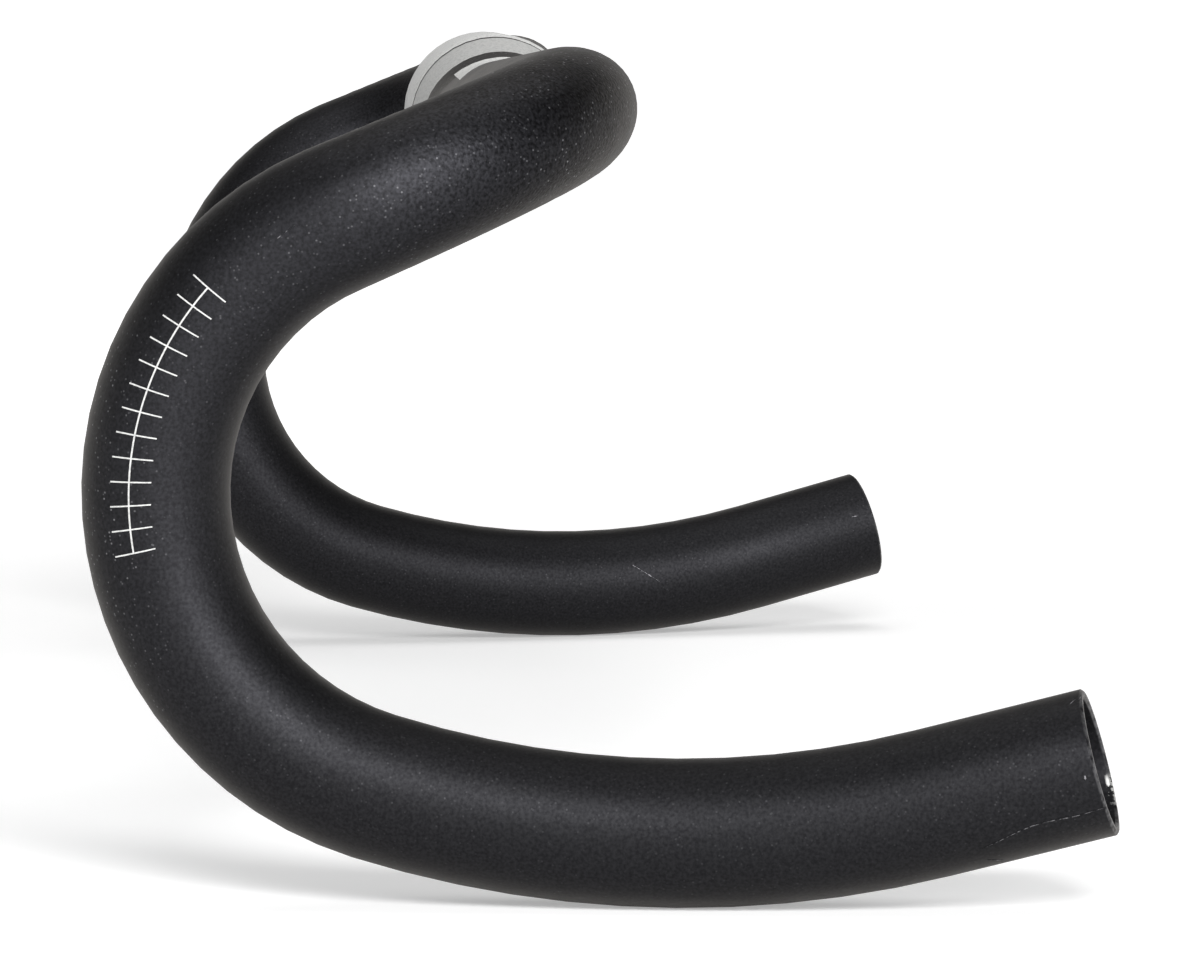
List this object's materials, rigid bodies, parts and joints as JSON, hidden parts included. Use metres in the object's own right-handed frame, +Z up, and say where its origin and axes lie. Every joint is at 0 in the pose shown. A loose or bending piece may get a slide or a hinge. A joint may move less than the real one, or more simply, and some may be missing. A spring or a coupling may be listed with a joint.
{
  "type": "gravel drop handlebar",
  "caption": "Flared drop handlebar bent from one tube, with a thick round stem clamp zone, flattened tops, deep hooks and open ends.",
  "frame": {"origin": "middle of the stem clamp zone, on the clamp axis", "axes": "+X along the clamp axis to the rider's right, +Y forward, +Z up, with the bar turned 22.7 degrees nose down from level ramps, as it is shown standing on its drops"},
  "size_m": [0.5074, 0.1642, 0.1383],
  "materials": {
    "black_anodised_aluminium": "bead-blasted, matte black anodised",
    "white_ink": "screen-printed white ink",
    "grey_ink": "screen-printed grey ink"
  },
  "bodies": {
    "root": {"handlebar": "black_anodised_aluminium"}
  },
  "joints": []
}
